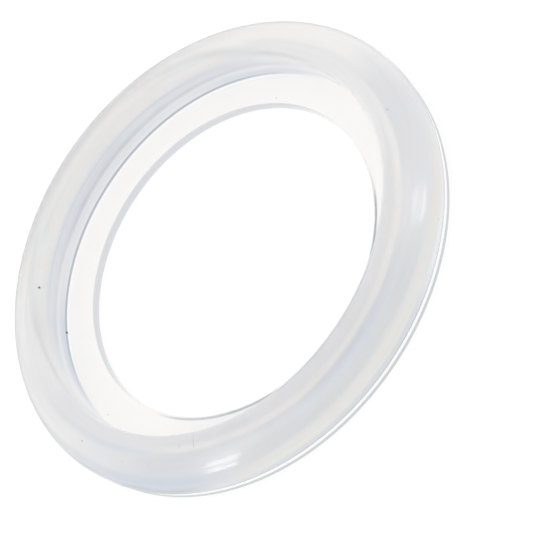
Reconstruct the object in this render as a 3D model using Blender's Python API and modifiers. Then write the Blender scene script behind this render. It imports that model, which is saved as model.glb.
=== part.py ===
"""Group head gasket: a moulded silicone ring that seals a 58 mm portafilter against its group head.

It is one piece. In section it has a thick bead with a rolled crown, a round wall that locates the
shower screen, and a thin flange that reaches inwards from the foot of that wall. Outside, the bead
turns under to a sharp groove, and a thin lip stands out below it, level with the flat base.

Units are metres and Z is up. The origin is the centre of the flat base.
"""

import math

import bpy
import numpy as np

# Round wall that the shower screen sits in
SEAT_DIAMETER = 0.0590

# Bead, measured outwards from that wall
BEAD_WIDTH = 0.0070
BEAD_HEIGHT = 0.0085
CROWN_RADIUS = 0.00195
WIDEST_HEIGHT = 0.0030

# Flange, reaching inwards from the foot of the wall
FLANGE_REACH = 0.00508
FLANGE_THICKNESS = 0.00135
FLANGE_TOP_ROUNDING = 0.0004
FLANGE_FOOT_ROUNDING = 0.0002
WALL_ROOT_FILLET = 0.00025

# Groove under the bead, measured in from its widest point, and the lip below it
GROOVE_DEPTH = 0.00097
LIP_REACH = 0.00055
LIP_THICKNESS = 0.00057
LIP_ROUNDING = 0.0001

# Facets around the ring, and along its arcs
STEPS_AROUND = 96
INNER_CROWN_FACETS = 7
OUTER_CROWN_FACETS = 1
SHOULDER_FACETS = 9
UNDERSIDE_FACETS = 5
ROUNDING_FACETS = 2
FLANGE_TOP_FACETS = 4

# Points and seams closer than this are one
SAME_POINT = 0.00001

# Translucent silicone, as it shows on white
SILICONE_COLOUR = (0.80, 0.82, 0.84, 1.0)
SILICONE_ROUGHNESS = 0.32
SILICONE_TRANSMISSION = 0.35
SILICONE_IOR = 1.41

SEAT_RADIUS = SEAT_DIAMETER / 2
BEAD_RADIUS = SEAT_RADIUS + BEAD_WIDTH
BORE_RADIUS = SEAT_RADIUS - FLANGE_REACH
GROOVE_RADIUS = BEAD_RADIUS - GROOVE_DEPTH
LIP_RADIUS = GROOVE_RADIUS + LIP_REACH


def arc(centre, radius, start, end, facets):
    """Points on a circle from one angle to another, in radians, ends included."""
    angles = np.linspace(start, end, facets + 1)
    return centre + radius * np.column_stack((np.cos(angles), np.sin(angles)))


def rounded_corner(before, corner, after, radius, facets=ROUNDING_FACETS):
    """An arc that touches both straight sides of a corner and takes its place."""
    corner = np.asarray(corner, dtype=float)
    back = np.asarray(before, dtype=float) - corner
    ahead = np.asarray(after, dtype=float) - corner
    back /= np.linalg.norm(back)
    ahead /= np.linalg.norm(ahead)
    half_angle = math.acos(np.clip(back @ ahead, -1.0, 1.0)) / 2
    middle = (back + ahead) / np.linalg.norm(back + ahead)
    centre = corner + middle * radius / math.sin(half_angle)
    first = corner + back * radius / math.tan(half_angle) - centre
    last = corner + ahead * radius / math.tan(half_angle) - centre
    start = math.atan2(first[1], first[0])
    turn = math.atan2(first[0] * last[1] - first[1] * last[0], first @ last)
    return arc(centre, radius, start, start + turn, facets)


def joined(*runs):
    """Runs of points end to end, with a point that repeats the one before it left out."""
    points = np.vstack(runs)
    steps = np.linalg.norm(np.diff(points, axis=0), axis=1)
    return points[np.concatenate(((True,), steps > SAME_POINT))]


def crown_and_shoulder():
    """From the top of the round wall, over the crown, to the bead's widest point.

    The crown leaves the wall upright and turns over the top. The shoulder takes over from it on a
    shared tangent and ends upright at the widest point, and its radius follows from touching both:
    with n and h the distances in and up from the widest point to the crown's outer end, it is
    the crown's radius + n / 2 + h * h / (2 * n). A bead too wide for that keeps n = h, where the
    shoulder is a quarter turn, and has a flat land between the two.
    """
    crown_height = BEAD_HEIGHT - CROWN_RADIUS
    up = crown_height - WIDEST_HEIGHT
    inwards = min(BEAD_WIDTH - 2 * CROWN_RADIUS, up)
    shoulder_radius = CROWN_RADIUS + inwards / 2 + up**2 / (2 * inwards)
    meeting = math.atan2(up, shoulder_radius - CROWN_RADIUS - inwards)
    inner_centre = (SEAT_RADIUS + CROWN_RADIUS, crown_height)
    outer_centre = (BEAD_RADIUS - CROWN_RADIUS - inwards, crown_height)
    shoulder_centre = (BEAD_RADIUS - shoulder_radius, WIDEST_HEIGHT)
    return joined(
        arc(inner_centre, CROWN_RADIUS, math.pi, math.pi / 2, INNER_CROWN_FACETS),
        arc(outer_centre, CROWN_RADIUS, math.pi / 2, meeting, OUTER_CROWN_FACETS),
        arc(shoulder_centre, shoulder_radius, meeting, 0, SHOULDER_FACETS),
    )


def underside():
    """From the widest point, where it starts upright, turning under to the groove's root.

    With g and d the root's distances in and down from the widest point, the radius is
    (g * g + d * d) / (2 * g).
    """
    down = WIDEST_HEIGHT - LIP_THICKNESS
    radius = (GROOVE_DEPTH**2 + down**2) / (2 * GROOVE_DEPTH)
    root = -math.atan2(down, radius - GROOVE_DEPTH)
    return arc((BEAD_RADIUS - radius, WIDEST_HEIGHT), radius, 0, root, UNDERSIDE_FACETS)


def section_outline():
    """The ring's section as (radius, height): the bead, then the lip, the base and the flange."""
    bead = joined(crown_and_shoulder(), underside())
    lip_top = (LIP_RADIUS, LIP_THICKNESS)
    lip_foot = (LIP_RADIUS, 0)
    flange_foot = (BORE_RADIUS, 0)
    flange_top = (BORE_RADIUS, FLANGE_THICKNESS)
    wall_root = (SEAT_RADIUS, FLANGE_THICKNESS)
    return joined(
        bead,
        rounded_corner(bead[-1], lip_top, lip_foot, LIP_ROUNDING),
        rounded_corner(lip_top, lip_foot, flange_foot, LIP_ROUNDING),
        rounded_corner(lip_foot, flange_foot, flange_top, FLANGE_FOOT_ROUNDING),
        rounded_corner(
            flange_foot, flange_top, wall_root, FLANGE_TOP_ROUNDING, FLANGE_TOP_FACETS
        ),
        rounded_corner(flange_top, wall_root, bead[0], WALL_ROOT_FILLET),
    )


def silicone():
    """Clear silicone rubber, milky in the thick bead."""
    material = bpy.data.materials.new("translucent_silicone")
    material.use_nodes = True
    shader = material.node_tree.nodes["Principled BSDF"]
    shader.inputs["Base Color"].default_value = SILICONE_COLOUR
    shader.inputs["Metallic"].default_value = 0.0
    shader.inputs["Roughness"].default_value = SILICONE_ROUGHNESS
    shader.inputs["Transmission Weight"].default_value = SILICONE_TRANSMISSION
    shader.inputs["IOR"].default_value = SILICONE_IOR
    material.diffuse_color = SILICONE_COLOUR
    return material


def turned_ring(name, outline, material, collection):
    """A closed section at +X, turned once around Z."""
    points = [(radius, 0.0, height) for radius, height in outline]
    edges = [(i, (i + 1) % len(points)) for i in range(len(points))]
    mesh = bpy.data.meshes.new(name)
    mesh.from_pydata(points, edges, [])
    mesh.materials.append(material)
    ring = bpy.data.objects.new(name, mesh)
    collection.objects.link(ring)
    turn = ring.modifiers.new("turn", "SCREW")
    turn.axis = "Z"
    turn.angle = 2 * math.pi
    turn.steps = STEPS_AROUND
    turn.render_steps = STEPS_AROUND
    turn.use_merge_vertices = True
    turn.merge_threshold = SAME_POINT
    turn.use_smooth_shade = True
    return ring


def main():
    for old in list(bpy.data.objects):
        bpy.data.objects.remove(old)
    collection = bpy.data.collections.new("group_head_gasket")
    bpy.context.scene.collection.children.link(collection)
    turned_ring("gasket_ring", section_outline(), silicone(), collection)


main()
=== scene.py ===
# %% [markdown]
# # Group head gasket
#
# A moulded ring of translucent silicone rubber, 73 mm across and 8.5 mm high, as a seal under
# pressure has it: a thick rounded bead, and a thin flat flange inside it. It lies on its flat base
# with its crown up, and the camera looks down on it. The script shows how to turn a section outline
# into one smooth closed mesh with numpy, and how to give a milky, see-through rubber its look with
# shader nodes.

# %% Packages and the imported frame
import math

import bpy
import numpy as np
from mathutils import Matrix, Vector


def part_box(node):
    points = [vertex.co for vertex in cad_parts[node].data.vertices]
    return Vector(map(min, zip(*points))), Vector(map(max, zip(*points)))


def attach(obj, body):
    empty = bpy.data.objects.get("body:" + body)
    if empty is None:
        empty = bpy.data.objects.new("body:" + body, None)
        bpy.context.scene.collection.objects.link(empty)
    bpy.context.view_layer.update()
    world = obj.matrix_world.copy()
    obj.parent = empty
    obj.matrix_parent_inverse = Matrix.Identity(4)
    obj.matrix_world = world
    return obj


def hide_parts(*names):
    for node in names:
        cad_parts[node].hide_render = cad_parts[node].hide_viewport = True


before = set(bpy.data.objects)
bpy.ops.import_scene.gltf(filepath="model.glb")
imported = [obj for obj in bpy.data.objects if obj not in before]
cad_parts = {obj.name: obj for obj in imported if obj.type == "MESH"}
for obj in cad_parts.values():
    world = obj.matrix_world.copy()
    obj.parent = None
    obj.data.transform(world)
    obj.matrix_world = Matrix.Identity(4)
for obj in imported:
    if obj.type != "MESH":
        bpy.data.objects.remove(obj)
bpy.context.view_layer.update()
ring_low, ring_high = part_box("gasket_ring")
print("frame:", sorted(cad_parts), "from", tuple(ring_low), "to", tuple(ring_high))

# %% [markdown]
# ## Camera
#
# The camera looks down at the ring at 46 degrees through a long lens, so the far and the near side
# look nearly the same size. It is rolled by 55 degrees, because in the photograph the ring leans
# over to the right. A small pan puts the ring left of the middle, as it is framed there. The same
# framing could be had with a lens shift, but a pan stays right when another view moves the camera.

# %% Camera
PICTURE_SIDE = 533
FOCAL_PIXELS = 3059.4
SENSOR_MM = 36.0
CAMERA_DISTANCE = 0.441
CAMERA_ELEVATION = math.radians(46.01)
CAMERA_ROLL = math.radians(-55.1)
RING_CENTRE_PIXEL = (235.3, 261.4)


def camera_turn(elevation, roll, pan, tilt):
    """Rotation of a camera in front of the ring: raised, rolled, then panned right and tilted down."""
    return (
        Matrix.Rotation(math.pi / 2 - elevation, 4, "X")
        @ Matrix.Rotation(roll, 4, "Z")
        @ Matrix.Rotation(-pan, 4, "Y")
        @ Matrix.Rotation(-tilt, 4, "X")
    )


pan_right = math.atan((PICTURE_SIDE / 2 - RING_CENTRE_PIXEL[0]) / FOCAL_PIXELS)
tilt_down = math.atan((PICTURE_SIDE / 2 - RING_CENTRE_PIXEL[1]) / FOCAL_PIXELS)
camera = bpy.data.objects.new("camera", bpy.data.cameras.new("camera"))
camera.data.sensor_width = SENSOR_MM
camera.data.lens = SENSOR_MM * FOCAL_PIXELS / PICTURE_SIDE
camera.data.clip_start = 0.01
camera_place = Vector((0, -math.cos(CAMERA_ELEVATION), math.sin(CAMERA_ELEVATION))) * CAMERA_DISTANCE
camera.matrix_world = Matrix.Translation(camera_place) @ camera_turn(
    CAMERA_ELEVATION, CAMERA_ROLL, pan_right, tilt_down
)
bpy.context.scene.collection.objects.link(camera)
bpy.context.scene.camera = camera
print("camera lens", round(camera.data.lens, 1), "mm at", tuple(round(c, 4) for c in camera_place))

# %% [markdown]
# ## The section
#
# Everything about the ring's shape is in its section, so it is drawn once as arcs and straight
# runs, each sampled as finely as it needs. The order is over the crown, down outside, under the
# bead to the sharp groove, round the thin lip, in along the base, and up round the flange's edge.
# The alternative, a coarse outline under a Subdivision Surface, would round the sharp groove away.

# %% Section outline
BEAD_RADIUS = ring_high.x
BEAD_HEIGHT = ring_high.z
SEAT_RADIUS = 0.0295
CROWN_RADIUS = 0.00195
WIDEST_HEIGHT = 0.0030
FLANGE_REACH = 0.00508
FLANGE_THICKNESS = 0.00135
FLANGE_TOP_ROUNDING = 0.0004
FLANGE_FOOT_ROUNDING = 0.0002
WALL_ROOT_FILLET = 0.00025
GROOVE_DEPTH = 0.00097
LIP_REACH = 0.00055
LIP_THICKNESS = 0.00057
LIP_ROUNDING = 0.0001
BORE_RADIUS = SEAT_RADIUS - FLANGE_REACH
LIP_RADIUS = BEAD_RADIUS - GROOVE_DEPTH + LIP_REACH
CROWN_STEPS = 26
SHOULDER_STEPS = 34
UNDERSIDE_STEPS = 16
LIP_TOP_STEPS = 2
LIP_ROUNDING_STEPS = 4
BASE_STEPS = 6
FLANGE_FOOT_STEPS = 5
FLANGE_EDGE_STEPS = 8
FLANGE_TOP_STEPS = 6
ROOT_STEPS = 6
WALL_STEPS = 8


def arc(centre, radius, start, end, count):
    """centre + radius * (cos a, sin a), with a running evenly from start to end."""
    angles = np.linspace(start, end, count)
    return np.array(centre) + radius * np.column_stack((np.cos(angles), np.sin(angles)))


def straight(start, end, count):
    """start + (end - start) * t, with t from 0 to 1, both ends left out."""
    steps = np.linspace(0, 1, count + 2)[1:-1, None]
    return np.array(start) + (np.array(end) - np.array(start)) * steps


def shoulder_radius_and_meeting():
    """Radius of the arc that touches the widest point and the crown, and where the two meet."""
    up = BEAD_HEIGHT - CROWN_RADIUS - WIDEST_HEIGHT
    inwards = BEAD_RADIUS - SEAT_RADIUS - 2 * CROWN_RADIUS
    radius = CROWN_RADIUS + inwards / 2 + up**2 / (2 * inwards)
    return radius, math.atan2(up, radius - CROWN_RADIUS - inwards)


def section_outline():
    """All the points of the closed section, as (radius, height), clockwise from the wall's top."""
    shoulder, meeting = shoulder_radius_and_meeting()
    down = WIDEST_HEIGHT - LIP_THICKNESS
    under = (GROOVE_DEPTH**2 + down**2) / (2 * GROOVE_DEPTH)
    under_turn = math.atan2(down, under - GROOVE_DEPTH)
    crown_centre = (SEAT_RADIUS + CROWN_RADIUS, BEAD_HEIGHT - CROWN_RADIUS)
    lip_edge = LIP_RADIUS - LIP_ROUNDING
    foot_centre = (BORE_RADIUS + FLANGE_FOOT_ROUNDING, FLANGE_FOOT_ROUNDING)
    edge_centre = (BORE_RADIUS + FLANGE_TOP_ROUNDING, FLANGE_THICKNESS - FLANGE_TOP_ROUNDING)
    groove = (BEAD_RADIUS - GROOVE_DEPTH, LIP_THICKNESS)
    root_top = (SEAT_RADIUS, FLANGE_THICKNESS + WALL_ROOT_FILLET)
    root_centre = (SEAT_RADIUS - WALL_ROOT_FILLET, FLANGE_THICKNESS + WALL_ROOT_FILLET)
    flange_top = ((edge_centre[0], FLANGE_THICKNESS), (root_centre[0], FLANGE_THICKNESS))
    quarter = math.pi / 2
    return np.vstack(
        (
            arc(crown_centre, CROWN_RADIUS, 2 * quarter, meeting, CROWN_STEPS),
            arc((BEAD_RADIUS - shoulder, WIDEST_HEIGHT), shoulder, meeting, 0, SHOULDER_STEPS)[1:],
            arc((BEAD_RADIUS - under, WIDEST_HEIGHT), under, 0, -under_turn, UNDERSIDE_STEPS)[1:],
            straight(groove, (lip_edge, LIP_THICKNESS), LIP_TOP_STEPS),
            arc((lip_edge, LIP_THICKNESS - LIP_ROUNDING), LIP_ROUNDING, quarter, 0, LIP_ROUNDING_STEPS),
            arc((lip_edge, LIP_ROUNDING), LIP_ROUNDING, 0, -quarter, LIP_ROUNDING_STEPS),
            straight((lip_edge, 0), (foot_centre[0], 0), BASE_STEPS),
            arc(foot_centre, FLANGE_FOOT_ROUNDING, -quarter, -2 * quarter, FLANGE_FOOT_STEPS),
            arc(edge_centre, FLANGE_TOP_ROUNDING, 2 * quarter, quarter, FLANGE_EDGE_STEPS),
            straight(flange_top[0], flange_top[1], FLANGE_TOP_STEPS),
            arc(root_centre, WALL_ROOT_FILLET, -quarter, 0, ROOT_STEPS),
            straight(root_top, (SEAT_RADIUS, crown_centre[1]), WALL_STEPS),
        )
    )


section = section_outline()
print("section points:", len(section))

# %% [markdown]
# ## The ring
#
# The section is carried round the axis as one grid of bearing by section point. Every vertex is
# worked out at once as an array, and foreach_set puts the arrays into the mesh. A Screw modifier
# would give the same form, but with the grid the faces and the map below come from one numbering.

# %% Ring surface
AROUND = 700


def ring_surface(outline, around):
    """Point (i, j) is outline point j turned by the angle 2 pi i / around: (r cos a, r sin a, z)."""
    angles = np.linspace(0, 2 * math.pi, around, endpoint=False)[:, None]
    heights = np.broadcast_to(outline[None, :, 1], (around, len(outline)))
    return np.stack((outline[:, 0] * np.cos(angles), outline[:, 0] * np.sin(angles), heights), axis=-1)


def closed_grid_mesh(name, points):
    """A smooth mesh of four-sided faces over a grid that closes on itself both ways."""
    rows, columns = points.shape[:2]
    index = np.arange(rows * columns).reshape(rows, columns)
    onward = np.roll(index, -1, axis=0)
    faces = np.stack((index, np.roll(index, -1, axis=1), np.roll(onward, -1, axis=1), onward), axis=-1)
    mesh = bpy.data.meshes.new(name)
    mesh.vertices.add(index.size)
    mesh.vertices.foreach_set("co", points.astype(np.float32).ravel())
    mesh.loops.add(faces.size)
    mesh.loops.foreach_set("vertex_index", faces.astype(np.int32).ravel())
    mesh.polygons.add(index.size)
    mesh.polygons.foreach_set("loop_start", np.arange(0, faces.size, 4, dtype=np.int32))
    mesh.update(calc_edges=True)
    mesh.shade_smooth()
    return mesh


ring_mesh = closed_grid_mesh("silicone_ring", ring_surface(section, AROUND))
ring = bpy.data.objects.new("silicone_ring", ring_mesh)
bpy.context.scene.collection.objects.link(ring)
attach(ring, "root")
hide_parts("gasket_ring")
print("ring triangles:", 2 * len(ring_mesh.polygons))

# %% [markdown]
# ## A map of the unrolled ring
#
# The painted light and shade follow the ring's shape, and so do its streaks and specks, so the
# material needs to know where on the ring it is.
# The two parameters of the grid say so: u is the share of a turn from the X axis, and v the share
# of the way along the section. They are kept on face corners, because on vertices the last strip
# of faces would run backwards through the whole pattern.

# %% Unrolled map
MM_PER_METRE = 1000


def add_unrolled_map(mesh, outline, around):
    """Corner values: u = share of a turn, v = share of the section's length. Returns the length in mm."""
    steps = np.linalg.norm(np.roll(outline, -1, axis=0) - outline, axis=1)
    share = np.concatenate(((0,), np.cumsum(steps))) / steps.sum()
    turn = np.arange(around)[:, None] / around + np.zeros(len(outline))
    onward = turn + 1 / around
    start = share[:-1] + np.zeros((around, 1))
    end = share[1:] + np.zeros((around, 1))
    u = np.stack((turn, turn, onward, onward), axis=-1)
    v = np.stack((start, end, end, start), axis=-1)
    unrolled = mesh.uv_layers.new(name="unrolled")
    unrolled.uv.foreach_set("vector", np.stack((u, v), axis=-1).astype(np.float32).ravel())
    return steps.sum() * MM_PER_METRE


section_length = add_unrolled_map(ring_mesh, section, AROUND)
print("section length:", round(section_length, 2), "mm")

# %% [markdown]
# ## A soft patch of tint
#
# Milky silicone is never one colour to the eye: it looks cream where light comes straight through
# and blue where it is scattered, and its curves bend light into pale and dark bands. Each such drift
# of light and shade is painted on as a soft patch, a place on the unrolled ring with a reach along
# the section, a reach round the ring, and a faded edge. One node group does it, and is placed once
# for each patch. Painted images would do too, but they couldn't be changed by a number. A Mix node
# has a set of sockets for each kind of data, so those for colours are picked by number.

# %% Helpers for nodes
MIX_COLOUR_A = 6
MIX_COLOUR_B = 7
MIX_COLOUR_RESULT = 2
FULL_TURN = 360


def add_math(tree, operation, *values, clamp=False):
    """A Math node on numbers or sockets. Gives back its output socket."""
    node = tree.nodes.new("ShaderNodeMath")
    node.operation = operation
    node.use_clamp = clamp
    for slot, value in zip(node.inputs, values):
        if isinstance(value, bpy.types.NodeSocket):
            tree.links.new(value, slot)
        else:
            slot.default_value = value
    return node.outputs[0]


def new_group(name, inputs, outputs):
    """An empty node group with named sockets, given as (name, kind) pairs."""
    group = bpy.data.node_groups.new(name, "ShaderNodeTree")
    for label, kind in inputs:
        group.interface.new_socket(label, in_out="INPUT", socket_type="NodeSocket" + kind)
    for label, kind in outputs:
        group.interface.new_socket(label, in_out="OUTPUT", socket_type="NodeSocket" + kind)
    return group, group.nodes.new("NodeGroupInput").outputs, group.nodes.new("NodeGroupOutput").inputs


def wrapped_distance(tree, value, middle, span):
    """How far value is from middle on a scale that starts again after span, never below zero."""
    gap = add_math(tree, "SUBTRACT", value, middle)
    return add_math(tree, "ABSOLUTE", add_math(tree, "WRAP", gap, span / 2, -span / 2))


def faded(tree, distance, reach, edge):
    """1 within reach * (1 - edge), 0 beyond reach, and an even S-curve between."""
    node = tree.nodes.new("ShaderNodeMapRange")
    node.interpolation_type = "SMOOTHSTEP"
    tree.links.new(distance, node.inputs["Value"])
    inner = add_math(tree, "MULTIPLY", reach, add_math(tree, "SUBTRACT", 1.0, edge))
    tree.links.new(inner, node.inputs["From Min"])
    tree.links.new(reach, node.inputs["From Max"])
    node.inputs["To Min"].default_value = 1.0
    node.inputs["To Max"].default_value = 0.0
    return node.outputs["Result"]


print("node helpers ready")

# %% [markdown]
# The group takes a colour in and gives it back mixed with the patch's own, as strongly as the mask
# says. Distances along the section are in millimetres and round the ring in degrees, and both wrap,
# so a patch may lie across the place where the map starts. Sway bends the patch: its middle lies
# further along the section by that much at the patch's own bearing, and less away from it.

# %% Soft patch group
patch_group, given, result = new_group(
    "soft_patch",
    (
        ("Colour", "Color"), ("Patch Colour", "Color"), ("Strength", "Float"),
        ("Section", "Float"), ("Section Middle", "Float"),
        ("Section Reach", "Float"), ("Section Edge", "Float"),
        ("Bearing", "Float"), ("Bearing Middle", "Float"),
        ("Bearing Reach", "Float"), ("Bearing Edge", "Float"),
        ("Sway", "Float"),
    ),
    (("Colour", "Color"),),
)
turned = add_math(patch_group, "SUBTRACT", given["Bearing"], given["Bearing Middle"])
lean = add_math(patch_group, "COSINE", add_math(patch_group, "RADIANS", turned))
bent_section = add_math(
    patch_group, "SUBTRACT", given["Section"], add_math(patch_group, "MULTIPLY", given["Sway"], lean)
)
across = faded(
    patch_group,
    wrapped_distance(patch_group, bent_section, given["Section Middle"], section_length),
    given["Section Reach"],
    given["Section Edge"],
)
along = faded(
    patch_group,
    wrapped_distance(patch_group, given["Bearing"], given["Bearing Middle"], FULL_TURN),
    given["Bearing Reach"],
    given["Bearing Edge"],
)
mask = add_math(patch_group, "MULTIPLY", across, along)
blend = patch_group.nodes.new("ShaderNodeMix")
blend.data_type = "RGBA"
patch_group.links.new(add_math(patch_group, "MULTIPLY", mask, given["Strength"]), blend.inputs["Factor"])
patch_group.links.new(given["Colour"], blend.inputs[MIX_COLOUR_A])
patch_group.links.new(given["Patch Colour"], blend.inputs[MIX_COLOUR_B])
patch_group.links.new(blend.outputs[MIX_COLOUR_RESULT], result["Colour"])
print("soft patch nodes:", len(patch_group.nodes))

# %% [markdown]
# ## Silicone
#
# Clear silicone rubber lets most light through, bends it, and scatters the rest in its depth. The
# shader is glass for nine parts in ten, and the rest is subsurface scattering with a reach of a few
# millimetres. A plain absorption inside makes the bead darker than the thin flange, as it is on the
# real ring, because light has further to go through it.

# %% Silicone material
GLASS_SHARE = 0.9
SILICONE_IOR = 1.41
SCATTER_REACH = 0.004
DEPTH_COLOUR = (0.5, 0.5, 0.5, 1)
DEPTH_DENSITY = 32.0

silicone = bpy.data.materials.new("translucent_silicone")
silicone.use_nodes = True
tree = silicone.node_tree
shader = tree.nodes["Principled BSDF"]
shader.inputs["Transmission Weight"].default_value = GLASS_SHARE
shader.inputs["IOR"].default_value = SILICONE_IOR
shader.inputs["Subsurface Weight"].default_value = 1.0
shader.inputs["Subsurface Radius"].default_value = (1.0, 1.0, 1.0)
shader.inputs["Subsurface Scale"].default_value = SCATTER_REACH
depth = tree.nodes.new("ShaderNodeVolumeAbsorption")
depth.inputs["Color"].default_value = DEPTH_COLOUR
depth.inputs["Density"].default_value = DEPTH_DENSITY
tree.links.new(depth.outputs["Volume"], tree.nodes["Material Output"].inputs["Volume"])
ring_mesh.materials.append(silicone)
print("silicone IOR", SILICONE_IOR)

# %% [markdown]
# The place on the ring comes from the map, in millimetres and degrees. A slow noise pushes both a
# little, so that no patch has a ruled edge.

# %% Place on the ring
DRIFT_SCALE = 70
SECTION_DRIFT_MM = 0.5
BEARING_DRIFT = 6.0

unrolled = tree.nodes.new("ShaderNodeUVMap")
unrolled.uv_map = "unrolled"
shares = tree.nodes.new("ShaderNodeSeparateXYZ")
tree.links.new(unrolled.outputs["UV"], shares.inputs[0])
place = tree.nodes.new("ShaderNodeTexCoord")


def add_noise(scale, detail, roughness=0.5, vector=None):
    """Noise in object coordinates, scale cells per metre. Gives back its value, about 0.5 on average."""
    node = tree.nodes.new("ShaderNodeTexNoise")
    node.inputs["Scale"].default_value = scale
    node.inputs["Detail"].default_value = detail
    node.inputs["Roughness"].default_value = roughness
    tree.links.new(vector or place.outputs["Object"], node.inputs["Vector"])
    return node.outputs["Fac"]


def drifted(share, span, noise, drift):
    """share * span + drift * (2 * noise - 1)."""
    push = add_math(tree, "MULTIPLY_ADD", noise, 2 * drift, -drift)
    return add_math(tree, "MULTIPLY_ADD", share, span, push)


drift = add_noise(DRIFT_SCALE, 1)
section_mm = drifted(shares.outputs["Y"], section_length, drift, SECTION_DRIFT_MM)
drifting_bearing = drifted(shares.outputs["X"], FULL_TURN, drift, BEARING_DRIFT)
exact_section_mm = add_math(tree, "MULTIPLY", shares.outputs["Y"], section_length)
exact_bearing = add_math(tree, "MULTIPLY", shares.outputs["X"], FULL_TURN)
print("place on the ring ready")

# %% [markdown]
# ## Tint, and painted light and shade
#
# Milky silicone has no pigment, but its thick and thin places and its curves send light on
# differently. Apart from the rubber's own plain tints, most patches below are painted light and
# shade, laid where the ring's curves and edges bend light: the pale ones painted light, the dark
# ones painted shade. In each area the large patches are laid first and the small ones over them.
# The palette goes from clear, where the rubber is thin, over milk, cream and haze to slate and navy,
# where an edge bends the light away. Each time light crosses the surface, the shader takes only the
# square root of the tint, so a patch that is crossed once shows weaker than written.

# %% Palette
CLEAR = (0.905, 0.885, 0.85)
MILK = (0.83, 0.82, 0.83)
CREAM = (0.98, 0.95, 0.91)
MIST = (0.97, 0.98, 1.00)
HAZE = (0.77, 0.80, 0.86)
ASH = (0.69, 0.69, 0.73)
SMOKE = (0.60, 0.615, 0.63)
TAN = (0.72, 0.71, 0.66)
BLUE = (0.61, 0.695, 0.80)
DEEP_BLUE = (0.48, 0.55, 0.65)
SLATE = (0.53, 0.56, 0.59)
PLUM = (0.50, 0.52, 0.56)
INK = (0.32, 0.38, 0.43)
LEAD = (0.38, 0.40, 0.41)
NAVY = (0.27, 0.30, 0.37)
WHITE = (1.0, 1.0, 1.0)
BLACK = (0.0, 0.0, 0.0)
ALL_ROUND = (0, 400, 0.5)


def place_patch(name, colour, patch_colour, strength, section, bearing=ALL_ROUND, sway=0.0, exact=False):
    """One soft patch over a colour socket. section and bearing are each (middle, reach, edge)."""
    node = tree.nodes.new("ShaderNodeGroup")
    node.node_tree = patch_group
    node.label = name
    tree.links.new(colour, node.inputs["Colour"])
    tree.links.new(exact_section_mm if exact else section_mm, node.inputs["Section"])
    tree.links.new(exact_bearing if exact else drifting_bearing, node.inputs["Bearing"])
    node.inputs["Patch Colour"].default_value = (*patch_colour, 1)
    node.inputs["Strength"].default_value = strength
    node.inputs["Sway"].default_value = sway
    for kind, values in (("Section", section), ("Bearing", bearing)):
        for part, value in zip(("Middle", "Reach", "Edge"), values):
            node.inputs[f"{kind} {part}"].default_value = value
    return node.outputs["Colour"]


def plain_colour(value):
    """An RGB node of one colour, as the ground for patches."""
    ground = tree.nodes.new("ShaderNodeRGB").outputs[0]
    ground.default_value = (*value, 1)
    return ground


colour = plain_colour(CLEAR)
print("palette ready")
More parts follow.
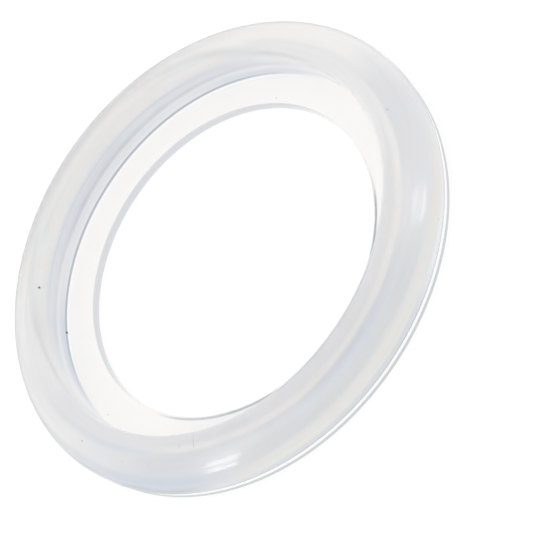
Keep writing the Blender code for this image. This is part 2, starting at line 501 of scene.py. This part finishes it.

# %% [markdown]
# The bead comes first, a plain milk all round. Over that lies painted light and shade, laid by
# bearing. Its far side is painted cream over a paler inner side, with a painted grey shade where
# the crown turns over and painted white light along the crown's curve. Its near side is painted a
# greyer shade, for the light that there crosses the thickest rubber. It starts at a bent edge that
# runs along the crown, with a painted pale crest above it and a painted blue band below. Along its
# inner edge, painted white and grey lines do the same. Under the bead and at its two ends, painted
# light, painted shade, dark lines and bright outlines stand in for light that the curve bends.

# %% Bead
BEAD_TINT_LIGHT_AND_SHADE = (
    ("bead", MILK, 1.0, (4.45, 9.6, 0.05), ALL_ROUND, 0.0, True),
    # From here on each patch is painted light or shade by bearing: the darker ones (ash, smoke, plum,
    # blue, tan, slate, ink) are painted shade, the paler ones (cream, mist, milk, white) painted light,
    # and the bright outlines painted highlights.
    ("left end of the crown", ASH, 0.72, (2.5, 2.7, 0.5), (195, 44, 0.6)),
    ("left end of the shoulder", SMOKE, 0.8, (8.2, 1.6, 0.9), (180, 28, 0.8)),
    ("far crown", CREAM, 0.85, (8.6, 4.0, 0.2), (78, 95, 0.4), -3.2),
    ("inner side of the crown", CREAM, 0.5, (0.6, 1.7, 0.6), (98, 92, 0.4)),
    ("lit curve of the crown", WHITE, 0.9, (-1.1, 1.1, 0.9), (90, 78, 0.3), 4.7),
    ("left side of the lit curve", WHITE, 0.9, (2.3, 0.8, 0.7), (130, 17, 0.7)),
    ("right side of the lit curve", WHITE, 1.0, (2.4, 0.8, 0.7), (42, 17, 0.7)),
    ("left end of the inner side", WHITE, 1.0, (-0.4, 1.6, 0.6), (180, 24, 0.8)),
    ("right end of the inner side", WHITE, 1.0, (-0.4, 1.6, 0.6), (0, 24, 0.8)),
    ("far shoulder", ASH, 0.6, (4.9, 1.5, 0.9), (84, 62, 0.7)),
    ("left of the far shoulder", ASH, 0.4, (5.5, 1.9, 0.8), (150, 24, 0.8)),
    ("middle of the far shoulder", ASH, 0.4, (3.9, 1.5, 0.9), (90, 25, 0.9)),
    ("far outer side", MIST, 0.6, (7.2, 1.3, 0.8), (100, 50, 0.5)),
    ("far underside", WHITE, 1.0, (11.0, 3.0, 0.3), (88, 100, 0.4)),
    ("right end of the shoulder", CREAM, 0.6, (5.2, 1.7, 0.9), (0, 28, 0.9)),
    ("near bead", ASH, 1.0, (8.7, 6.0, 0.1), (276, 84, 0.25), 2.6),
    ("crest", CREAM, 0.65, (2.5, 0.8, 0.9), (272, 75, 0.6), 2.6),
    ("left shoulder", PLUM, 0.35, (5.8, 1.8, 0.8), (211, 20, 0.7)),
    ("left of the left shoulder", ASH, 0.6, (5.4, 1.9, 0.8), (196, 13, 0.8)),
    ("blue on the left shoulder", BLUE, 0.6, (4.1, 0.9, 0.9), (199, 17, 0.8)),
    ("shoulder", SMOKE, 1.0, (7.9, 2.0, 0.7), (262, 50, 0.5)),
    ("blue band", BLUE, 0.6, (4.0, 1.5, 0.9), (268, 32, 0.7), 2.6),
    ("light end of the band", CREAM, 0.35, (5.6, 0.9, 0.9), (303, 18, 0.8)),
    ("low shoulder", TAN, 0.9, (10.3, 1.7, 0.9), (280, 64, 0.4)),
    ("underside", SLATE, 1.0, (12.6, 1.7, 0.6), (258, 42, 0.5)),
    ("foot of the underside", INK, 0.9, (13.6, 1.25, 0.8), (258, 56, 0.6)),
    ("right end of the underside", MILK, 0.65, (12.5, 1.5, 0.6), (312, 26, 0.6)),
    ("right foot of the underside", INK, 1.0, (13.1, 1.1, 0.7), (336, 28, 0.6)),
    ("blue end", DEEP_BLUE, 0.95, (9.0, 3.4, 1.0), (207, 28, 0.8)),
    ("dark end", INK, 1.0, (11.3, 1.8, 0.9), (207, 17, 0.8)),
    ("left end of the dark line", INK, 0.75, (9.3, 0.5, 0.8), (183, 13, 0.7), 0.0, True),
    ("dark line at the left end", INK, 0.7, (10.2, 0.8, 0.8), (197, 13, 0.7), 0.0, True),
    ("bright left outline", WHITE, 1.0, (11.2, 1.4, 0.5), (184, 15, 0.6), 0.0, True),
    ("bright right outline", WHITE, 1.0, (10.9, 1.3, 0.5), (0, 15, 0.6), 0.0, True),
    ("left inner edge", SMOKE, 0.6, (1.1, 0.6, 0.8), (220, 26, 0.6)),
    ("near inner edge", WHITE, 1.0, (1.1, 1.4, 0.6), (315, 40, 0.7)),
    ("light line of the inner edge", WHITE, 1.0, (1.3, 0.45, 0.5), (287, 40, 0.5), 0.0, True),
    ("line along the inner edge", SLATE, 0.9, (2.2, 0.28, 0.8), (270, 26, 0.3), 0.0, True),
)
for patch in BEAD_TINT_LIGHT_AND_SHADE:
    colour = place_patch(patch[0], colour, *patch[1:])
print("patches on the bead:", len(BEAD_TINT_LIGHT_AND_SHADE))

# %% [markdown]
# The round wall is tinted a hazy blue-grey all round. Over that come painted light at its two
# ends, a darker painted shade in its middle, and a narrow painted shade along the crease where it
# meets the flange. The flange is nearly clear, with a painted shade on its near side. Its cut edge
# and the edge of the lip are painted grey, a painted shade for light that enters there, runs on
# through the rubber and doesn't come back. A painted dark line above the lip and a painted white
# highlight on its top stand in for light that the groove bends.

# %% Wall, flange and lip
WALL_FLANGE_TINT_LIGHT_AND_SHADE = (
    ("wall", HAZE, 1.0, (35.5, 2.7, 0.3)),
    # From here on the patches are painted light and shade: the mist ones painted light, the darker ones
    # painted shade, and the white top of the lip a painted highlight.
    ("right end of the wall", MIST, 1.0, (37.0, 2.7, 0.8), (0, 42, 0.7)),
    ("left end of the wall", MIST, 1.0, (37.0, 2.7, 0.8), (180, 42, 0.7)),
    ("foot of the wall", SMOKE, 0.6, (33.8, 1.2, 0.8), (90, 100, 0.45)),
    ("left foot of the wall", DEEP_BLUE, 0.9, (33.5, 1.6, 1.0), (150, 27, 0.7), 0.0, True),
    ("right foot of the wall", DEEP_BLUE, 0.7, (33.4, 1.6, 1.0), (31, 27, 0.7), 0.0, True),
    ("cloud on the wall", DEEP_BLUE, 0.45, (35.9, 1.3, 0.9), (92, 30, 0.8)),
    ("haze above the cloud", MIST, 0.2, (35.8, 1.1, 0.9), (90, 78, 0.4)),
    ("haze left of the cloud", MIST, 0.5, (35.4, 0.8, 0.9), (123, 18, 0.8)),
    ("top of the wall", SLATE, 0.5, (37.15, 0.3, 1.0), (90, 62, 0.6), 0.0, True),
    ("crease of the wall", NAVY, 1.0, (32.95, 0.32, 0.6), (95, 85, 0.45), 0.0, True),
    ("bright side of the crease", MIST, 1.0, (32.5, 0.26, 0.5), (90, 80, 0.4), 0.0, True),
    ("near flange", ASH, 0.5, (29.5, 3.0, 0.4), (255, 62, 0.5)),
    ("edge of the flange", PLUM, 1.0, (27.15, 0.9, 0.15), (90, 102, 0.35), 0.0, True),
    ("left of the near flange edge", NAVY, 0.75, (28.2, 0.24, 0.6), (223, 32, 0.4), 0.0, True),
    ("right of the near flange edge", NAVY, 0.95, (28.2, 0.24, 0.6), (300, 27, 0.4), 0.0, True),
    ("line above the lip", INK, 0.9, (13.75, 0.3, 0.6), (258, 60, 0.4), 0.0, True),
    ("top of the lip", WHITE, 1.0, (14.18, 0.28, 0.3), ALL_ROUND, 0.0, True),
    ("edge of the lip", LEAD, 1.0, (14.95, 0.6, 0.25), ALL_ROUND, 0.0, True),
)
for patch in WALL_FLANGE_TINT_LIGHT_AND_SHADE:
    colour = place_patch(patch[0], colour, *patch[1:])
print("patches on the wall, flange and lip:", len(WALL_FLANGE_TINT_LIGHT_AND_SHADE))

# %% [markdown]
# ## Streaks
#
# A moulded ring shows faint lines that run round it, left by the turned mould. They are a noise
# that is stretched along the ring, and they tint the rubber a little hazier. A finer, shorter noise
# gives the cloudy grain in the rubber, a little warmer and cooler from place to place.

# %% Streaks and grain
STREAKS_PER_MM = 1.1
ALONG_STRETCH = 0.45
STREAK_STRENGTH = 0.35
GRAIN_SCALE = 300
GRAIN_STRENGTH = 0.35
WARM_GRAIN = (1.0, 0.93, 0.90)
COOL_GRAIN = (0.92, 0.97, 1.0)
THICK_RUBBER = (4.45, 9.6, 0.1)


def streak_noise(lines_per_mm, detail):
    """Noise that changes fast over radius and height, and slowly round the ring, without a seam.

    It is read in four dimensions: the direction (x / r, y / r) divided by the stretch along the
    ring, then the radius r and the height z, both in millimetres times the lines per millimetre.
    """
    lines_per_metre = MM_PER_METRE * lines_per_mm
    split = tree.nodes.new("ShaderNodeSeparateXYZ")
    tree.links.new(place.outputs["Object"], split.inputs[0])
    x, y, z = split.outputs
    squares = add_math(tree, "ADD", add_math(tree, "MULTIPLY", x, x), add_math(tree, "MULTIPLY", y, y))
    radius = add_math(tree, "SQRT", squares)
    spot = tree.nodes.new("ShaderNodeCombineXYZ")
    for side, slot in ((x, spot.inputs[0]), (y, spot.inputs[1])):
        stretched = add_math(tree, "MULTIPLY", radius, ALONG_STRETCH)
        tree.links.new(add_math(tree, "DIVIDE", side, stretched), slot)
    tree.links.new(add_math(tree, "MULTIPLY", radius, lines_per_metre), spot.inputs[2])
    node = tree.nodes.new("ShaderNodeTexNoise")
    node.noise_dimensions = "4D"
    node.inputs["Scale"].default_value = 1.0
    node.inputs["Detail"].default_value = detail
    tree.links.new(spot.outputs[0], node.inputs["Vector"])
    tree.links.new(add_math(tree, "MULTIPLY", z, lines_per_metre), node.inputs["W"])
    return node.outputs["Fac"]


def tinted(colour, tint, share):
    """The colour mixed with a tint multiplied over it, by a share that may be a socket."""
    mix = tree.nodes.new("ShaderNodeMix")
    mix.data_type = "RGBA"
    mix.blend_type = "MULTIPLY"
    mix.clamp_factor = True
    tree.links.new(share, mix.inputs["Factor"])
    tree.links.new(colour, mix.inputs[MIX_COLOUR_A])
    mix.inputs[MIX_COLOUR_B].default_value = (*tint, 1)
    return mix.outputs[MIX_COLOUR_RESULT]


streak = streak_noise(STREAKS_PER_MM, 2)
grain = add_noise(GRAIN_SCALE, 2)
lines = add_math(tree, "MULTIPLY_ADD", streak, 3 * STREAK_STRENGTH, -1.5 * STREAK_STRENGTH, clamp=True)
warm = add_math(tree, "MULTIPLY_ADD", grain, 4 * GRAIN_STRENGTH, -2 * GRAIN_STRENGTH, clamp=True)
cool = add_math(tree, "MULTIPLY_ADD", grain, -4 * GRAIN_STRENGTH, 2 * GRAIN_STRENGTH, clamp=True)
thick = place_patch("thick rubber", plain_colour(BLACK), WHITE, 1.0, THICK_RUBBER, exact=True)
colour = tinted(colour, HAZE, add_math(tree, "MULTIPLY", lines, thick))
colour = tinted(colour, WARM_GRAIN, warm)
colour = tinted(colour, COOL_GRAIN, cool)
print("streaks per millimetre:", STREAKS_PER_MM)

# %% [markdown]
# ## Specks and marks
#
# The real ring has a few dark specks of dirt, a hairline and some faint scuffs. They are patches
# too, only very small, each at its own bearing and place along the section. Half a degree is about
# a third of a millimetre on the bead.

# %% Specks and marks
MARKS = (
    ("speck on the inner side", BLACK, 1.0, (1.2, 0.28, 0.8), (131.25, 0.55, 0.8)),
    ("speck in the crease", BLACK, 1.0, (32.9, 0.35, 0.7), (141.0, 0.5, 0.7)),
    ("speck on the left shoulder", INK, 1.0, (5.1, 0.22, 0.8), (185.5, 0.4, 0.8)),
    ("speck on the right shoulder", INK, 1.0, (4.7, 0.25, 0.8), (332.75, 0.35, 0.8)),
    ("speck low on the bead", SLATE, 1.0, (11.2, 0.4, 0.8), (304.5, 0.3, 0.8)),
    ("speck on the far flange", SLATE, 1.0, (28.8, 0.25, 0.8), (25.25, 0.4, 0.8)),
    ("speck at the flange edge", SLATE, 1.0, (27.65, 0.2, 0.8), (343.0, 0.5, 0.8)),
    ("speck on the near flange", SLATE, 0.9, (28.3, 0.2, 0.8), (320.0, 0.5, 0.8)),
    ("speck by the crease", SLATE, 0.9, (32.0, 0.2, 0.8), (176.0, 0.4, 0.8)),
    ("hairline", SLATE, 0.9, (3.3, 1.1, 0.4), (222.0, 0.2, 0.8)),
    ("scuff on the crown", ASH, 0.9, (1.05, 0.3, 0.8), (201.25, 0.6, 0.8)),
    ("scuff on the shoulder", SLATE, 0.8, (5.8, 0.3, 0.8), (208.25, 0.5, 0.8)),
    ("second scuff on the shoulder", SLATE, 0.7, (5.8, 0.3, 0.8), (200.0, 0.5, 0.8)),
    ("scuff beside the hairline", SLATE, 0.7, (3.6, 0.35, 0.8), (217.75, 0.4, 0.8)),
)
for mark in MARKS:
    colour = place_patch(mark[0], colour, *mark[1:], exact=True)
print("specks and marks:", len(MARKS))

# %% [markdown]
# ## Rim
#
# Seen along its surface, clear rubber shows what lies behind it bent away, and its outline turns
# grey. Layer Weight tells how far the surface faces away, and there the colour goes to a grey: a
# painted shade for that bent view. The real ring has that rim outside only. Its inner edge is pale,
# and so is the outline at the two ends of the ring's long way, so patches take the painted grey out
# there.

# %% Rim
# The grey below is a painted shade along the outline.
RIM_SHADE = (0.45, 0.47, 0.50)
RIM_STARTS = 0.62
RIM_FULL = 0.95
LIP_ROOT_MM = 13.9
RIMLESS_PATCHES = (
    ("no rim inside", 1.0, (0.6, 3.0, 0.4), ALL_ROUND),
    ("no rim at the left end", 0.8, (11.4, 1.5, 0.5), (184, 16, 0.6)),
    ("no rim at the right end", 0.8, (11.0, 1.4, 0.5), (0, 16, 0.6)),
)

rim = tree.nodes.new("ShaderNodeLayerWeight")
rim.inputs["Blend"].default_value = 0.5
rim_reach = tree.nodes.new("ShaderNodeMapRange")
rim_reach.interpolation_type = "SMOOTHSTEP"
rim_reach.inputs["From Min"].default_value = RIM_STARTS
rim_reach.inputs["From Max"].default_value = RIM_FULL
tree.links.new(rim.outputs["Facing"], rim_reach.inputs["Value"])
rim_kept = plain_colour(WHITE)
for name, strength, across_section, along_ring in RIMLESS_PATCHES:
    rim_kept = place_patch(name, rim_kept, BLACK, strength, across_section, along_ring, exact=True)
on_bead = add_math(tree, "LESS_THAN", exact_section_mm, LIP_ROOT_MM)
rim_on_bead = add_math(tree, "MULTIPLY", rim_reach.outputs["Result"], on_bead)
rim_share = add_math(tree, "MULTIPLY", rim_on_bead, rim_kept)
rim_mix = tree.nodes.new("ShaderNodeMix")
rim_mix.data_type = "RGBA"
tree.links.new(rim_share, rim_mix.inputs["Factor"])
tree.links.new(colour, rim_mix.inputs[MIX_COLOUR_A])
rim_mix.inputs[MIX_COLOUR_B].default_value = (*RIM_SHADE, 1)
tree.links.new(rim_mix.outputs[MIX_COLOUR_RESULT], shader.inputs["Base Color"])
print("patches in all:", sum(node.type == "GROUP" for node in tree.nodes))

# %% [markdown]
# ## Gloss
#
# The skin of the moulding is satin, with places that a mould polished brighter. Roughness drifts a
# little all over. Two places on the near shoulder carry a thin gloss, broken into streaks that run
# round the ring as the mould was turned. Coat Weight takes that mask, so the body of the rubber
# keeps its softness underneath.

# %% Gloss
SATIN_SCALE = 160
SATIN_RANGE = 0.12
SATIN_LEAST = 0.26
GLOSS_STREAKS_PER_MM = 3.2
GLOSS_CONTRAST = 8.0
GLOSS_CUT = 3.5
GLOSS_ROUGHNESS = 0.08
GLOSS_IOR = 1.6
GLOSS_PATCHES = (
    ("left gloss", (8.2, 2.2, 0.6), (228.5, 8, 0.8)),
    ("right gloss", (7.6, 1.7, 0.7), (305, 9, 0.8)),
)
DULL_SHARE = 0.5
DULL_FOOT = ((13.4, 1.2, 0.8), (270, 90, 0.4))

satin = add_math(tree, "MULTIPLY_ADD", add_noise(SATIN_SCALE, 2), SATIN_RANGE, SATIN_LEAST)
no_mask = plain_colour(BLACK)
dull = place_patch("dull foot", no_mask, WHITE, DULL_SHARE, *DULL_FOOT, exact=True)
tree.links.new(add_math(tree, "ADD", satin, dull), shader.inputs["Roughness"])
gloss = no_mask
for name, across_section, along_ring in GLOSS_PATCHES:
    gloss = place_patch(name, gloss, WHITE, 1.0, across_section, along_ring, exact=True)
gloss_streak = streak_noise(GLOSS_STREAKS_PER_MM, 2)
broken = add_math(tree, "MULTIPLY_ADD", gloss_streak, GLOSS_CONTRAST, -GLOSS_CUT, clamp=True)
tree.links.new(add_math(tree, "MULTIPLY", gloss, broken), shader.inputs["Coat Weight"])
shader.inputs["Coat Roughness"].default_value = GLOSS_ROUGHNESS
shader.inputs["Coat IOR"].default_value = GLOSS_IOR
print("gloss streaks per millimetre:", GLOSS_STREAKS_PER_MM)

# %% [markdown]
# ## Floor, backdrop and light
#
# The floor is plain and white. A camera, a reflection or a look through the silicone sees mostly
# an even white of about strength 1, with enough of the lit surface left in it for a soft shadow.
# Every other ray meets an ordinary pale floor, so that the floor sends no more light up than it
# should. It lies a hundredth of a millimetre above the ring's base, so the two never share a plane.

# %% Floor
FLOOR_REACH = 1.5
FLOOR_HEIGHT = 0.00001
SHADOW_SHARE = 0.14
FLOOR_GREY = (0.95, 0.95, 0.95, 1)
FLOOR_ROUGHNESS = 0.9
FLOOR_GLOW = 1.04


def seen_or_lit(tree, lit, seen, outlet, share=0.0):
    """Shows seen to camera, glossy and transmission rays, with a share of lit left for the camera."""
    path = tree.nodes.new("ShaderNodeLightPath").outputs
    direct = add_math(tree, "MULTIPLY", path["Is Camera Ray"], 1 - share)
    looks = add_math(tree, "MAXIMUM", direct, path["Is Glossy Ray"])
    looks = add_math(tree, "MAXIMUM", looks, path["Is Transmission Ray"])
    mix = tree.nodes.new("ShaderNodeMixShader")
    tree.links.new(looks, mix.inputs[0])
    tree.links.new(lit, mix.inputs[1])
    tree.links.new(seen, mix.inputs[2])
    tree.links.new(mix.outputs[0], outlet)


signs = ((-1, -1), (1, -1), (1, 1), (-1, 1))
corners = [(x * FLOOR_REACH, y * FLOOR_REACH, FLOOR_HEIGHT) for x, y in signs]
floor = bpy.data.objects.new("floor", bpy.data.meshes.new("floor"))
floor.data.from_pydata(corners, [], [(0, 1, 2, 3)])
bpy.context.scene.collection.objects.link(floor)

floor_material = bpy.data.materials.new("white_floor")
floor_material.use_nodes = True
floor_tree = floor_material.node_tree
floor_shader = floor_tree.nodes["Principled BSDF"]
floor_shader.inputs["Base Color"].default_value = FLOOR_GREY
floor_shader.inputs["Roughness"].default_value = FLOOR_ROUGHNESS
glow = floor_tree.nodes.new("ShaderNodeEmission")
glow.inputs["Strength"].default_value = FLOOR_GLOW
seen_or_lit(
    floor_tree,
    floor_shader.outputs[0],
    glow.outputs[0],
    floor_tree.nodes["Material Output"].inputs["Surface"],
    SHADOW_SHARE,
)
floor.data.materials.append(floor_material)
print("floor reaches", FLOOR_REACH, "m")

# %% [markdown]
# The studio is an even white tent. Two tall soft boxes stand left and right in front of it, where
# their reflections fall on the outer shoulder as on the real ring. Placing them by the direction
# of the mirrored view is quicker than trying places by eye.

# %% Studio
TENT_LEVEL = 0.9
BOX_DISTANCE = 0.6
BOX_WIDTH = 0.16
BOX_HEIGHT = 0.7

world = bpy.data.worlds.new("white_tent")
bpy.context.scene.world = world
world.use_nodes = True
tent = world.node_tree.nodes["Background"]
tent.inputs["Color"].default_value = (1, 1, 1, 1)
tent.inputs["Strength"].default_value = TENT_LEVEL
backdrop = world.node_tree.nodes.new("ShaderNodeBackground")
backdrop.inputs["Color"].default_value = (1, 1, 1, 1)
world_surface = world.node_tree.nodes["World Output"].inputs["Surface"]
seen_or_lit(world.node_tree, tent.outputs[0], backdrop.outputs[0], world_surface)


def soft_box(name, bearing, elevation, level):
    """A rectangle lamp that faces the ring. level is how bright it looks, where 1 is white."""
    lamp = bpy.data.lights.new(name, "AREA")
    lamp.shape = "RECTANGLE"
    lamp.size, lamp.size_y = BOX_WIDTH, BOX_HEIGHT
    lamp.energy = level * math.pi * BOX_WIDTH * BOX_HEIGHT
    holder = bpy.data.objects.new(name, lamp)
    turn = Matrix.Rotation(math.radians(bearing) + math.pi / 2, 4, "Z")
    lift = Matrix.Rotation(math.pi / 2 - math.radians(elevation), 4, "X")
    holder.matrix_world = turn @ lift @ Matrix.Translation((0, 0, BOX_DISTANCE))
    bpy.context.scene.collection.objects.link(holder)
    print(name, "at", tuple(round(c, 2) for c in holder.matrix_world.translation))


soft_box("left_soft_box", bearing=198, elevation=17, level=3.0)
soft_box("right_soft_box", bearing=332, elevation=20, level=1.8)
bpy.context.scene.view_settings.view_transform = "Standard"
